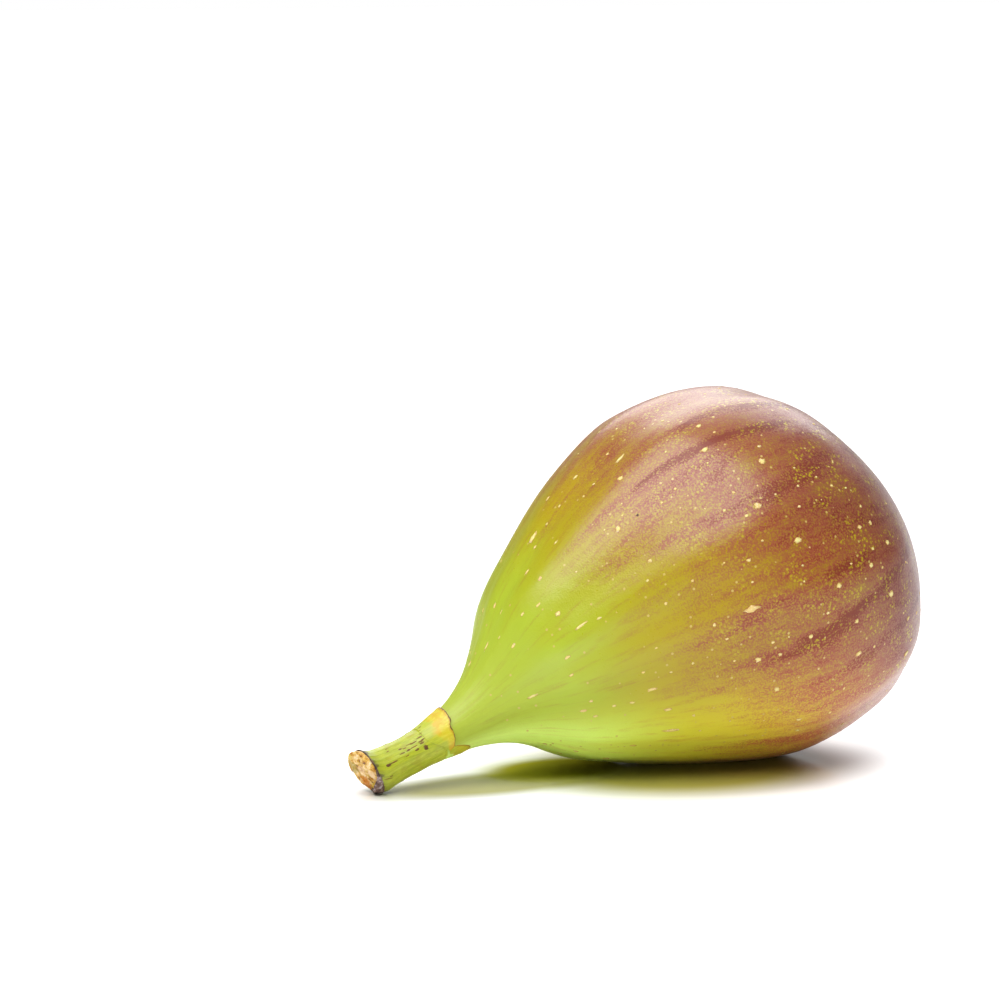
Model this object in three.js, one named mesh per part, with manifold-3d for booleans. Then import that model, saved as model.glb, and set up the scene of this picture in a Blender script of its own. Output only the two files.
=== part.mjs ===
// A fresh fig as picked, lying on its side: the fruit with its neck and ribs, the scales that close its eye,
// the three bracts at the foot of the neck, and the cut stalk. Millimetres, +Z up. The origin is the middle
// of the flat spot that the fruit rests on; the eye is towards +X and the stalk towards -X.
//
// Every piece is first turned about one straight axis, where "along" is the distance from the eye towards the
// cut end, and is then laid on the fig's own bowed axis.

import * as THREE from "three";
import { mergeVertices } from "three/addons/utils/BufferGeometryUtils.js";
import Module from "manifold-3d";

const wasm = await Module();
wasm.setup();

// ---- driving dimensions ----
const bodyRadius = 25; // the widest place is 50 across
const widestAlong = 26.5;
const stalkEndAlong = 81.6; // the middle of the cut face
const fit = 0.3; // clearance between pieces that touch

// The axis runs down from the eye to the stalk, and bows off a straight line by a few millimetres.
const axisFall = THREE.MathUtils.degToRad(23);
const widestPoint = new THREE.Vector3(-1.78, 0, 23.42); // on the straight line, at widestAlong
const bow = [
  [-8, -5.75], // [along, offset from the straight line]
  [0.8, -3.97],
  [7.8, -2.56],
  [14.8, -1.39],
  [21.8, -0.6],
  [29.8, 0],
  [44.8, 0.74],
  [57.8, 0.51],
  [69.8, -0.15],
  [81.1, 0.22],
  [92, 0.9],
];
const turnStart = 40; // before this the sections stay square to the straight line
const turnEnd = 60; // past this they are square to the bowed axis
const tipLift = 0.95; // the cut end has dried upwards by this much
const tipStart = 79.4;
const tipEnd = 82.2;

// Body, from the lip of the eye to the neck.
const body = [
  [5.3, 0.75], // [radius, along]
  [8.8, 1.75],
  [12.6, 3.5],
  [17.2, 6.6],
  [20.2, 9.3],
  [22.9, 13.3],
  [24.6, 19.2],
  [bodyRadius, widestAlong],
  [24.1, 31.1],
  [21.6, 37.6],
  [18.5, 44.1],
  [15.4, 49.6],
  [12, 55],
];

// Neck, the swelling at the bracts, and stalk.
const foot = [
  [55, 12], // [along, radius]
  [59, 8.15],
  [61, 6.45],
  [63, 5.1],
  [65, 4.12],
  [67, 3.4],
  [69, 2.98],
  [71, 2.76],
  [72.6, 2.6],
  [74, 2.5],
  [76, 2.45],
  [78, 2.57],
  [79.8, 2.8],
  [82, 3],
];

// Longitudinal ribs: how many round the fig, how high, and where they start.
const ribs = [
  { count: 7, height: 0.09, phase: 3.32 },
  { count: 11, height: 0.12, phase: 4.71 },
  { count: 16, height: 0.08, phase: 4.71 },
];
const ribsFromEye = [2, 14]; // they rise over this stretch
const ribsToNeck = [50, 68]; // and fade over this one

const fruitSides = 72;
const stalkSides = 36;
const bractSides = 72;

// ---- the fig's axis ----

// Catmull-Rom value and slope through a table of [position, value] pairs, which has a spare pair at each end.
function smoothTable(table, position) {
  let i = 1;
  while (i < table.length - 3 && position > table[i + 1][0]) i++;
  const [before, start, end, after] = table.slice(i - 1, i + 3);
  const span = end[0] - start[0];
  const startSlope = (end[1] - before[1]) / (end[0] - before[0]);
  const endSlope = (after[1] - start[1]) / (after[0] - start[0]);
  const u = (position - start[0]) / span;
  const value =
    (2 * u ** 3 - 3 * u ** 2 + 1) * start[1] +
    (u ** 3 - 2 * u ** 2 + u) * span * startSlope +
    (3 * u ** 2 - 2 * u ** 3) * end[1] +
    (u ** 3 - u ** 2) * span * endSlope;
  const slope =
    ((6 * u ** 2 - 6 * u) * (start[1] - end[1])) / span +
    (3 * u ** 2 - 4 * u + 1) * startSlope +
    (3 * u ** 2 - 2 * u) * endSlope;
  return { value, slope };
}

// The point at this distance along, this far above the axis and this far to its side.
function onAxis(along, up, side) {
  const bowed = smoothTable(bow, along);
  const turned = THREE.MathUtils.smoothstep(along, turnStart, turnEnd);
  const fall = axisFall - Math.atan(bowed.slope) * turned;
  const run = along - widestAlong;
  const lifted = up + tipLift * THREE.MathUtils.smoothstep(along, tipStart, tipEnd);
  return new THREE.Vector3(
    widestPoint.x - run * Math.cos(axisFall) - bowed.value * Math.sin(axisFall) - lifted * Math.sin(fall),
    side,
    widestPoint.z - run * Math.sin(axisFall) + bowed.value * Math.cos(axisFall) + lifted * Math.cos(fall),
  );
}

// Only positions, each shared by the faces round it, and no face that the sharing has closed up.
function weld(geometry) {
  geometry.deleteAttribute("normal");
  geometry.deleteAttribute("uv");
  const welded = mergeVertices(geometry, 1e-4);
  const index = welded.index.array;
  const kept = [];
  for (let i = 0; i < index.length; i += 3) {
    const [a, b, c] = index.slice(i, i + 3);
    if (a !== b && b !== c && c !== a) kept.push(a, b, c);
  }
  welded.setIndex(kept);
  return welded;
}

// Lays a shape turned about +Y on the fig's axis. moved(along, angle, radius) gives the place that a point is
// moved to first; angle is 0 on the upper side and a quarter turn at +Y.
function layOnAxis(geometry, moved = (along, angle, radius) => ({ along, radius })) {
  const position = geometry.attributes.position;
  for (let i = 0; i < position.count; i++) {
    const angle = Math.atan2(position.getX(i), position.getZ(i));
    const to = moved(position.getY(i), angle, Math.hypot(position.getX(i), position.getZ(i)));
    const point = onAxis(to.along, to.radius * Math.cos(angle), to.radius * Math.sin(angle));
    point.z = Math.max(point.z, 0); // whatever would sink into the table is pressed flat
    position.setXYZ(i, point.x, point.y, point.z);
  }
  return weld(geometry);
}

function toSolid(geometry) {
  return new wasm.Manifold(
    new wasm.Mesh({
      numProp: 3,
      vertProperties: new Float32Array(geometry.attributes.position.array),
      triVerts: new Uint32Array(geometry.index.array),
    }),
  );
}

function toGeometry(solid) {
  const mesh = solid.getMesh();
  return new THREE.BufferGeometry()
    .setAttribute("position", new THREE.BufferAttribute(mesh.vertProperties, 3))
    .setIndex(new THREE.BufferAttribute(mesh.triVerts, 1));
}

// ---- bracts: where their free edge runs ----
const bractBase = 72.4;
const bractSinus = 70.4; // the free edge between two lobes
const lobes = [
  { angle: 0.15, halfWidth: 2.2, reach: 2.2, power: 2 }, // a broad one over the top
  { angle: -2.48, halfWidth: 0.6, reach: 2.7, power: 1.5 }, // the other two are beneath
  { angle: 2.5, halfWidth: 0.9, reach: 2.2, power: 1.8 },
];

function bractReach(angle) {
  let reach = 0;
  for (const lobe of lobes) {
    const off = Math.abs(Math.atan2(Math.sin(angle - lobe.angle), Math.cos(angle - lobe.angle)));
    const share = 1 - (off / lobe.halfWidth) ** lobe.power;
    reach = Math.max(reach, lobe.reach * share);
  }
  return reach;
}

// ---- fruit ----
const eyeRadius = 3.6; // the recess that the eye's scales fill
const eyeDepth = 1.2;
const eyeLip = 0.45; // where the skin meets the recess
const neckStep = bractSinus - fit; // where the neck is let in under the bracts
const neckCore = 1.75; // radius of the neck inside the bracts
const neckEnd = 71.9;
const neckDraw = 60.5; // where the rows begin to draw back for the bracts
const bodyRows = 32;
const hair = 0.01; // tells one row of points from the next

function makeFruit() {
  const neck = foot.slice(1, 6).map(([along, radius]) => [radius, along]);
  const knots = [[eyeRadius, eyeLip], ...body, ...neck].map(([x, y]) => new THREE.Vector3(x, y, 0));
  const curve = new THREE.CatmullRomCurve3(knots, false, "centripetal");
  const skin = curve.getSpacedPoints(bodyRows).map((p) => new THREE.Vector2(p.x, p.y));
  const points = [
    new THREE.Vector2(0, eyeLip + eyeDepth),
    new THREE.Vector2(eyeRadius, eyeLip + eyeDepth),
    ...skin,
    new THREE.Vector2(smoothTable(foot, neckStep).value, neckStep),
    new THREE.Vector2(neckCore, neckStep),
    new THREE.Vector2(neckCore, neckEnd),
    new THREE.Vector2(0, neckEnd),
  ];
  return layOnAxis(new THREE.LatheGeometry(points, fruitSides), (along, angle, radius) => {
    const rise = THREE.MathUtils.smoothstep(along, ...ribsFromEye);
    const fade = 1 - THREE.MathUtils.smoothstep(along, ...ribsToNeck);
    let height = 0;
    for (const rib of ribs) height += rib.height * Math.cos(rib.count * angle + rib.phase);
    const rib = height * rise * fade;
    // Near the bracts the rows draw back, so that the step follows the bracts' free edge.
    const near = THREE.MathUtils.smoothstep(along, neckDraw, neckStep);
    if (near === 0) return { along, radius: radius + rib };
    const drawn = along - bractReach(angle) * near;
    if (radius > neckCore + hair) return { along: drawn, radius: smoothTable(foot, drawn).value + rib };
    return { along: along > neckStep + hair ? along : drawn, radius };
  });
}

// ---- eye scales: three whorls of scales with their tips towards the middle, each whorl over the one before ----
const whorls = [
  { scales: 8, from: 2.15, length: 2.3, width: 2.3, lift: 0.1, lean: 0.05 },
  { scales: 6, from: 1.45, length: 2.0, width: 1.9, lift: 0.3, lean: 0.12 },
  { scales: 4, from: 0.75, length: 1.4, width: 1.3, lift: 0.5, lean: 0.25 },
];
const whorlTurn = 2.4;
const scaleHeight = 0.5;
const scaleTaper = 0.55; // how much narrower the tip is than the middle
const scaleSink = 0.2; // of a scale's middle below the lip
const bedSides = 32;
const bedRadius = eyeRadius - fit;
const bedEnd = eyeLip + eyeDepth - fit;

function makeScale(whorl) {
  const scale = new THREE.SphereGeometry(1, 10, 6);
  const position = scale.attributes.position;
  for (let i = 0; i < position.count; i++) {
    const toTip = Math.max(0, position.getX(i));
    position.setZ(i, position.getZ(i) * (1 - scaleTaper * toTip ** 2));
  }
  scale.scale(whorl.length / 2, scaleHeight, whorl.width / 2);
  return scale;
}

function makeEyeScales() {
  const bed = [
    new THREE.Vector2(0, eyeLip + 0.05),
    new THREE.Vector2(bedRadius - 0.4, eyeLip + 0.15),
    new THREE.Vector2(bedRadius, eyeLip + 0.35),
    new THREE.Vector2(bedRadius, bedEnd),
    new THREE.Vector2(0, bedEnd),
  ];
  let rosette = toSolid(weld(new THREE.LatheGeometry(bed, bedSides)));
  whorls.forEach((whorl, ring) => {
    for (let i = 0; i < whorl.scales; i++) {
      const scale = makeScale(whorl);
      scale.rotateZ(whorl.lean); // the tip leans out of the fruit
      scale.rotateY(Math.PI); // and points to the middle
      scale.rotateX(Math.PI);
      scale.translate(whorl.from, eyeLip + scaleSink - whorl.lift, 0);
      scale.rotateY((2 * Math.PI * i) / whorl.scales + ring * whorlTurn);
      rosette = rosette.add(toSolid(weld(scale)));
    }
  });
  return layOnAxis(toGeometry(rosette));
}

// ---- bract collar: one ring with three lobes that lie over the foot of the neck ----
const bractProud = 0.05; // how far the bracts stand out of the skin beside them
const bractThickness = 0.62;
const bractRows = 5;
const ringOutside = 2; // only tell the ring's outer rows from its inner ones until they are laid
const ringInside = 1;

function makeBractCollar() {
  const outside = [];
  for (let i = 0; i <= bractRows; i++) {
    const along = THREE.MathUtils.lerp(bractSinus, bractBase, i / bractRows);
    outside.push(new THREE.Vector2(ringOutside, along));
  }
  const inside = outside.map((p) => new THREE.Vector2(ringInside, p.y)).reverse();
  const points = [...outside, ...inside, outside[0].clone()];
  return layOnAxis(new THREE.LatheGeometry(points, bractSides), (along, angle, radius) => {
    const share = (bractBase - along) / (bractBase - bractSinus); // 1 at the free edge
    const drawn = along - bractReach(angle) * share;
    const out = smoothTable(foot, drawn).value + bractProud * share;
    const within = Math.max(out - bractThickness, neckCore + fit);
    return { along: drawn, radius: radius > ringInside + hair ? out : within };
  });
}

// ---- stalk: a ridged stem with a torn dry rim, and a plug of cork that the knife has cut aslant ----
const stalkStart = bractBase + fit;
const stemRows = [stalkStart, 73.6, 74.8, 76.2, 77.6, 78.9, 80.1];
const rimRows = [80.5, 80.85];
const rimRadius = 2.93;
const plug = [
  [2.84, 81.1], // [radius, along]
  [2.8, 81.4],
  [2.4, 81.6],
  [1.2, stalkEndAlong + 0.05],
  [0, stalkEndAlong],
];
const plugRadius = plug[0][0];
const ridges = { count: 5, height: 0.06, phase: 0.8, from: 73, to: 75 };
const cutSlant = 0.55; // how much further along the cut face is at its longest side than in its middle
const cutTowards = THREE.MathUtils.degToRad(50);
const slantFrom = 80.4;
const slantFull = 81.4;
const ragged = [
  { count: 3, height: 0.1, phase: 1.1 },
  { count: 7, height: 0.05, phase: 0 },
];

function makeStalk() {
  const stem = stemRows.map((along) => new THREE.Vector2(smoothTable(foot, along).value, along));
  const rim = rimRows.map((along) => new THREE.Vector2(rimRadius, along));
  const points = [
    new THREE.Vector2(0, stalkStart),
    ...stem,
    ...rim,
    ...plug.map(([radius, along]) => new THREE.Vector2(radius, along)),
  ];
  return layOnAxis(new THREE.LatheGeometry(points, stalkSides), (along, angle, radius) => {
    const reach = radius / plugRadius;
    const grown = THREE.MathUtils.smoothstep(along, ridges.from, ridges.to);
    const torn = THREE.MathUtils.smoothstep(along, stemRows.at(-1), rimRows.at(-1));
    let height = ridges.height * Math.cos(ridges.count * angle + ridges.phase) * grown * (1 - torn);
    for (const wave of ragged) height += wave.height * Math.cos(wave.count * angle + wave.phase) * torn;
    const slant = cutSlant * Math.cos(angle - cutTowards) * THREE.MathUtils.smoothstep(along, slantFrom, slantFull);
    return { along: along + slant * reach, radius: radius + height * reach };
  });
}

// ---- the fig ----
function piece(name, geometry, color, roughness) {
  const material = new THREE.MeshStandardMaterial({ color, roughness, metalness: 0 });
  const mesh = new THREE.Mesh(geometry, material);
  mesh.name = name;
  return mesh;
}

const fig = new THREE.Group();
fig.name = "fig";
fig.add(piece("fruit", makeFruit(), 0xa08a3a, 0.42));
fig.add(piece("eye_scales", makeEyeScales(), 0x7a4034, 0.6));
fig.add(piece("bract_collar", makeBractCollar(), 0xc2a838, 0.55));
fig.add(piece("stalk", makeStalk(), 0x94ad3c, 0.5));

export default fig;
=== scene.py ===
import random
from math import atan, atan2, copysign, cos, exp, hypot, pi, radians, sin, sqrt

import bmesh
import bpy
from mathutils import Matrix, Vector, noise
from mathutils.bvhtree import BVHTree


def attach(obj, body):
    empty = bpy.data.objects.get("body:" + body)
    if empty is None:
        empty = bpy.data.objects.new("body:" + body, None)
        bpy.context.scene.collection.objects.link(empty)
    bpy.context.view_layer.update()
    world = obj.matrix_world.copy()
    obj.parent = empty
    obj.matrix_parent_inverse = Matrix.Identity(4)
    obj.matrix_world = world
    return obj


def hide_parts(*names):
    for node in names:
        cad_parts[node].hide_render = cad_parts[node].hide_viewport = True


# A fresh fig on its side. Pieces are turned in millimetres about a straight axis, where "along" is the
# distance from the eye towards the cut end and an angle of 0 is the upper side, and are then laid on the
# fig's own bowed axis, in metres.

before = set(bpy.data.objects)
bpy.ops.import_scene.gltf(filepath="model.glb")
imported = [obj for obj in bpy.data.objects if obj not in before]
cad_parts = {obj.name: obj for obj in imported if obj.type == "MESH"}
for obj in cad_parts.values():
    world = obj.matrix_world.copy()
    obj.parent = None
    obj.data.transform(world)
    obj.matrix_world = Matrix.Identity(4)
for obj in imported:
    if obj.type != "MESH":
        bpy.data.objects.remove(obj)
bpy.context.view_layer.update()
print("frame loaded:", sorted(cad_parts))

mm = 0.001


def smoothStep(value, start, end):
    share = min(1.0, max(0.0, (value - start) / (end - start)))
    return share * share * (3 - 2 * share)


def mixValues(first, second, share):
    return first + (second - first) * share


def degreesPast(angle, middle):
    # an angle in radians, seen from a middle in degrees: from -180 to 180 degrees
    return (angle * 180 / pi - middle + 180) % 360 - 180


def between(value, riseStart, riseEnd, fallStart, fallEnd):
    return smoothStep(value, riseStart, riseEnd) * (1 - smoothStep(value, fallStart, fallEnd))


def noiseAt(x, y, z):
    return noise.noise(Vector((x, y, z)))


def wander(angle, along, waves, length, seed=0.0):
    # smooth noise from -1 to 1 that closes round the fig
    return noiseAt(cos(angle) * waves + seed, sin(angle) * waves, along / length)


figAxis = {
    "length": 82,  # from the eye to the cut end
    "fall": radians(23),  # how steeply a straight line from the eye to the stalk runs down
    "anchor": (-1.78, 23.42),  # x and z of that line at anchorAlong
    "anchorAlong": 26.5,
    "bow": [  # along, offset from the straight line
        (-8, -5.75), (0.8, -3.97), (7.8, -2.56), (14.8, -1.39), (21.8, -0.6), (29.8, 0),
        (44.8, 0.74), (57.8, 0.51), (69.8, -0.15), (81.1, 0.22), (92, 0.9),
    ],
    "turn": (40, 60),  # the sections turn from the straight line to the bowed axis over this stretch
    "lift": (0.95, 79.4, 82.2),  # the cut end bends up by this much, over this stretch
}

foot = [  # along, radius: the neck, the swelling at the bracts and the stalk
    (55, 12), (59, 8.15), (61, 6.45), (63, 5.1), (65, 4.12), (67, 3.4), (69, 2.98),
    (71, 2.76), (72.6, 2.6), (74, 2.5), (76, 2.45), (78, 2.57), (79.8, 2.8), (82, 3),
]


def curveValue(u, start, leaving, end, arriving):
    # a cubic from start to end, with its slopes there
    return (
        (2 * u**3 - 3 * u**2 + 1) * start + (u**3 - 2 * u**2 + u) * leaving
        + (3 * u**2 - 2 * u**3) * end + (u**3 - u**2) * arriving
    )


def smoothTable(table, position):
    # Catmull-Rom value and slope through pairs, which have a spare pair at each end
    i = 1
    while i < len(table) - 3 and position > table[i + 1][0]:
        i += 1
    before, start, end, after = table[i - 1:i + 3]
    span = end[0] - start[0]
    startSlope = (end[1] - before[1]) / (end[0] - before[0])
    endSlope = (after[1] - start[1]) / (after[0] - start[0])
    u = (position - start[0]) / span
    value = curveValue(u, start[1], span * startSlope, end[1], span * endSlope)
    slope = (
        (6 * u**2 - 6 * u) * (start[1] - end[1]) / span
        + (3 * u**2 - 4 * u + 1) * startSlope + (3 * u**2 - 2 * u) * endSlope
    )
    return value, slope


def plainTable(table, position):
    # straight lines between pairs, level past both ends
    if position <= table[0][0]:
        return table[0][1]
    for start, end in zip(table, table[1:]):
        if position <= end[0]:
            return mixValues(start[1], end[1], (position - start[0]) / (end[0] - start[0]))
    return table[-1][1]


def onAxis(along, angle, radius):
    # the place in metres, at this distance along and out from the axis
    lift, *lifted = figAxis["lift"]
    up = radius * cos(angle) + lift * smoothStep(along, *lifted)
    side = radius * sin(angle)
    bowed, slope = smoothTable(figAxis["bow"], along)
    straight = figAxis["fall"]
    fall = straight - atan(slope) * smoothStep(along, *figAxis["turn"])
    run = along - figAxis["anchorAlong"]
    x = figAxis["anchor"][0] - run * cos(straight) - bowed * sin(straight) - up * sin(fall)
    z = figAxis["anchor"][1] - run * sin(straight) + bowed * cos(straight) + up * cos(fall)
    return Vector((x, side, max(z, 0))) * mm


def footRadius(along):
    return smoothTable(foot, along)[0]


def smoothOutline(knots, spacing):
    # centripetal Catmull-Rom curve through (radius, along) knots, with a point about every spacing
    pairs = [Vector(k) for k in knots]
    pairs = [pairs[0] * 2 - pairs[1], *pairs, pairs[-1] * 2 - pairs[-2]]
    points = [pairs[1]]
    for i in range(1, len(pairs) - 2):
        p0, p1, p2, p3 = pairs[i - 1:i + 3]
        d0, d1, d2 = sqrt((p1 - p0).length), sqrt((p2 - p1).length), sqrt((p3 - p2).length)
        m1 = ((p1 - p0) / d0 - (p2 - p0) / (d0 + d1) + (p2 - p1) / d1) * d1
        m2 = ((p2 - p1) / d1 - (p3 - p1) / (d1 + d2) + (p3 - p2) / d2) * d1
        steps = max(1, round((p2 - p1).length / spacing))
        points += [curveValue(step / steps, p1, m1, p2, m2) for step in range(1, steps + 1)]
    return [(p.x, p.y) for p in points]


def turnOutline(points, steps, closed=False):
    # a shape turned about Z from (radius, along) points
    bm = bmesh.new()
    verts = [bm.verts.new((radius, 0, along)) for radius, along in points]
    edges = [bm.edges.new(pair) for pair in zip(verts, verts[1:] + (verts[:1] if closed else []))]
    bmesh.ops.spin(
        bm, geom=verts + edges, axis=(0, 0, 1), cent=(0, 0, 0), dvec=(0, 0, 0),
        angle=2 * pi, steps=steps, use_merge=True, use_duplicate=False,
    )
    bmesh.ops.remove_doubles(bm, verts=bm.verts, dist=1e-4)
    return bm


def addLayers(bm):
    # course holds the way round the axis and the distance along it, and tint what materials mix by
    return [bm.verts.layers.float_vector.new(name) for name in ("course", "tint")]


def layOnAxis(bm, moved=None, tinted=None):
    # moved gives the along and radius that a point goes to, and tinted three amounts for its material
    course, tint = addLayers(bm)
    for vert in bm.verts:
        along, angle, radius = vert.co.z, atan2(vert.co.y, vert.co.x), hypot(vert.co.x, vert.co.y)
        vert[course] = (cos(angle), sin(angle), along)
        if tinted:
            vert[tint] = tinted(along, angle, radius)
        if moved:
            along, radius = moved(along, angle, radius)
        vert.co = onAxis(along, angle, radius)


def addObject(name, data):
    made = bpy.data.objects.new(name, data)
    bpy.context.scene.collection.objects.link(made)
    return made


def finishPiece(bm, name, material, node, thickness=0.0, subdivided=0):
    bmesh.ops.recalc_face_normals(bm, faces=bm.faces)
    mesh = bpy.data.meshes.new(name)
    for face in bm.faces:
        face.smooth = True
    bm.to_mesh(mesh)
    mesh.materials.append(material)
    piece = addObject(name, mesh)
    if thickness:
        shell = piece.modifiers.new("thickness", "SOLIDIFY")
        shell.thickness = thickness * mm
        shell.offset = -1
    if subdivided:
        finer = piece.modifiers.new("finer", "SUBSURF")
        finer.levels = finer.render_levels = subdivided
    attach(piece, "root")
    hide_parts(node)
    print(f"{name}: {len(mesh.polygons)} faces")


class Finish:
    # the nodes of a material, or of the surroundings, which are linked as they are made

    def __init__(self, name, colours=None, world=False):
        self.material = (bpy.data.worlds if world else bpy.data.materials).new(name)
        self.material.use_nodes = True
        self.tree = self.material.node_tree
        self.shader = self.tree.nodes["Background" if world else "Principled BSDF"]
        self.colours = colours or {}

    def node(self, kind, inputs=None, **settings):
        made = self.tree.nodes.new("ShaderNode" + kind)
        for key, value in settings.items():
            setattr(made, key, value)
        for key, value in (inputs or {}).items():
            self.feed(made.inputs[key], value)
        return made

    def feed(self, socket, value):
        if isinstance(value, bpy.types.NodeSocket):
            self.tree.links.new(value, socket)
        else:
            socket.default_value = value

    def set(self, **sockets):
        for key, value in sockets.items():
            self.feed(self.shader.inputs[key.replace("_", " ")], value)

    def course(self):
        return self.node("Attribute", attribute_name="course").outputs["Vector"]

    def tint(self):
        return self.split(self.node("Attribute", attribute_name="tint").outputs["Vector"])

    def split(self, vector):
        return self.node("SeparateXYZ", {0: vector}).outputs

    def place(self):
        return self.node("TexCoord").outputs["Object"]

    def noise(self, vector, scale, detail=2.0, roughness=0.5, distortion=0.0):
        return self.node("TexNoise", {
            "Vector": vector, "Scale": scale, "Detail": detail, "Roughness": roughness,
            "Distortion": distortion,
        }).outputs["Fac"]

    def streaks(self, vector, stretch, *settings):
        # noise at different scales each way
        return self.noise(self.node("Mapping", {"Vector": vector, "Scale": stretch}).outputs[0], *settings)

    def cells(self, vector, scale):
        return self.node("TexVoronoi", {"Vector": vector, "Scale": scale}).outputs["Distance"]

    def ranged(self, value, low, high, toLow=0.0, toHigh=1.0, smooth=True):
        made = self.node("MapRange", {0: value, 1: low, 2: high, 3: toLow, 4: toHigh})
        made.interpolation_type = "SMOOTHSTEP" if smooth else "LINEAR"
        return made.outputs[0]

    def swing(self, pattern, reach, smooth=True):
        # a noise pattern brought to this reach on both sides of zero
        return self.ranged(pattern, 0.3, 0.7, -reach, reach, smooth)

    def math(self, operation, first, second):
        return self.node("Math", {0: first, 1: second}, operation=operation).outputs[0]

    def plus(self, first, second):
        return self.math("ADD", first, second)

    def times(self, first, second):
        return self.math("MULTIPLY", first, second)

    def mix(self, share, first, second, blend="MIX"):
        made = self.node("Mix", data_type="RGBA", blend_type=blend, clamp_factor=True)
        self.feed(made.inputs[0], share)
        for socket, value in ((made.inputs[6], first), (made.inputs[7], second)):
            value = self.colours[value] if isinstance(value, str) else value
            self.feed(socket, (*value, 1) if isinstance(value, tuple) else value)
        return made.outputs[2]

    def stain(self, colour, other, pattern, low, high, most=1.0):
        # another colour, where the pattern goes from low to high
        return self.mix(self.ranged(pattern, low, high, 0, most), colour, other)

    def ramp(self, value, stops):
        made = self.node("ValToRGB", {0: value})
        elements = made.color_ramp.elements
        while len(elements) < len(stops):
            elements.new(0.5)
        for element, (position, colour) in zip(elements, stops):
            element.position = position
            element.color = (*colour, 1)
        return made.outputs["Color"]

    def bump(self, height, strength, distance, normal=None):
        inputs = {"Height": height, "Strength": strength, "Distance": distance * mm}
        if normal:
            inputs["Normal"] = normal
        return self.node("Bump", inputs).outputs[0]


cameraView = {
    "azimuth": -29.33,
    "elevation": 7.34,
    "distance": 560,
    "target": (-24.68, 15.15, 33.58),
    "lens": 154.9,
}


def wayTo(azimuth, elevation):
    # azimuth 0 is on the near side, at -Y, and 90 at +X
    azimuth, elevation = radians(azimuth), radians(elevation)
    level = cos(elevation)
    return Vector((sin(azimuth) * level, -cos(azimuth) * level, sin(elevation)))


def makeCamera():
    back = wayTo(cameraView["azimuth"], cameraView["elevation"])
    data = bpy.data.cameras.new("camera")
    data.lens = cameraView["lens"]
    data.sensor_width = 36
    data.clip_start = 0.01
    data.clip_end = 20
    camera = addObject("camera", data)
    camera.location = (Vector(cameraView["target"]) + back * cameraView["distance"]) * mm
    camera.rotation_euler = (-back).to_track_quat("-Z", "Y").to_euler()
    bpy.context.scene.camera = camera


makeCamera()
print("camera made")

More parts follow.
